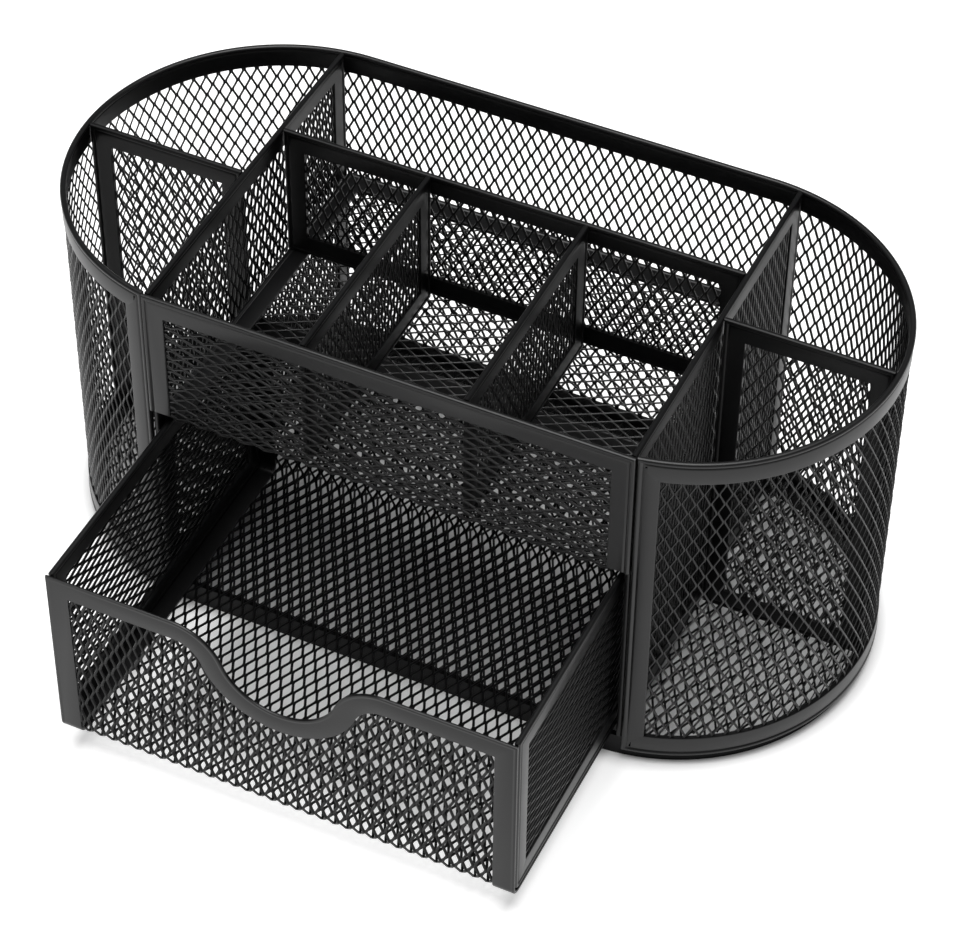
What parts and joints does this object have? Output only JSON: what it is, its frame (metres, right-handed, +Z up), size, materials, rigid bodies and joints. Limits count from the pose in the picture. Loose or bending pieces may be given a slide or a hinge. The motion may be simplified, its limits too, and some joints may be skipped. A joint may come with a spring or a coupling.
{
  "type": "desk organiser with drawer",
  "caption": "Oblong desk organiser of black steel mesh: open compartments for pens and small items above and beside a pull-out mesh drawer with a finger scoop.",
  "frame": {"origin": "centre of the plan on the desk surface, under the foot ring's underside", "axes": "+X along the length, -Y is the way the drawer opens, +Z up"},
  "size_m": [0.22, 0.1643, 0.1053],
  "materials": {
    "mesh": "satin powder coat on expanded steel mesh",
    "strip": "satin powder coat on folded steel strip"
  },
  "bodies": {
    "body": {"base_mesh": "mesh", "bottom_band": "strip", "foot_ring": "strip", "front_panel_frame": "strip", "left_divider_frame": "strip", "left_divider_mesh": "mesh", "left_end_divider_frame": "strip", "left_end_divider_mesh": "mesh", "left_partition_frame": "strip", "left_partition_mesh": "mesh", "left_post": "strip", "outer_mesh": "mesh", "rear_inner_wall_frame": "strip", "rear_inner_wall_mesh": "mesh", "right_divider_frame": "strip", "right_divider_mesh": "mesh", "right_end_divider_frame": "strip", "right_end_divider_mesh": "mesh", "right_partition_frame": "strip", "right_partition_mesh": "mesh", "right_post": "strip", "top_rim": "strip", "tray_floor_frame": "strip", "tray_mesh": "mesh"},
    "drawer": {"drawer_back_frame": "strip", "drawer_front_frame": "strip", "drawer_left_floor_strip": "strip", "drawer_left_side_frame": "strip", "drawer_left_side_mesh": "mesh", "drawer_right_floor_strip": "strip", "drawer_right_side_frame": "strip", "drawer_right_side_mesh": "mesh", "drawer_sheet": "mesh"}
  },
  "joints": [
    {"name": "drawer_slide", "type": "slide", "parent": "body", "child": "drawer", "axis": [0, -1, 0], "range_m": [-0.0563, 0.0237]}
  ]
}
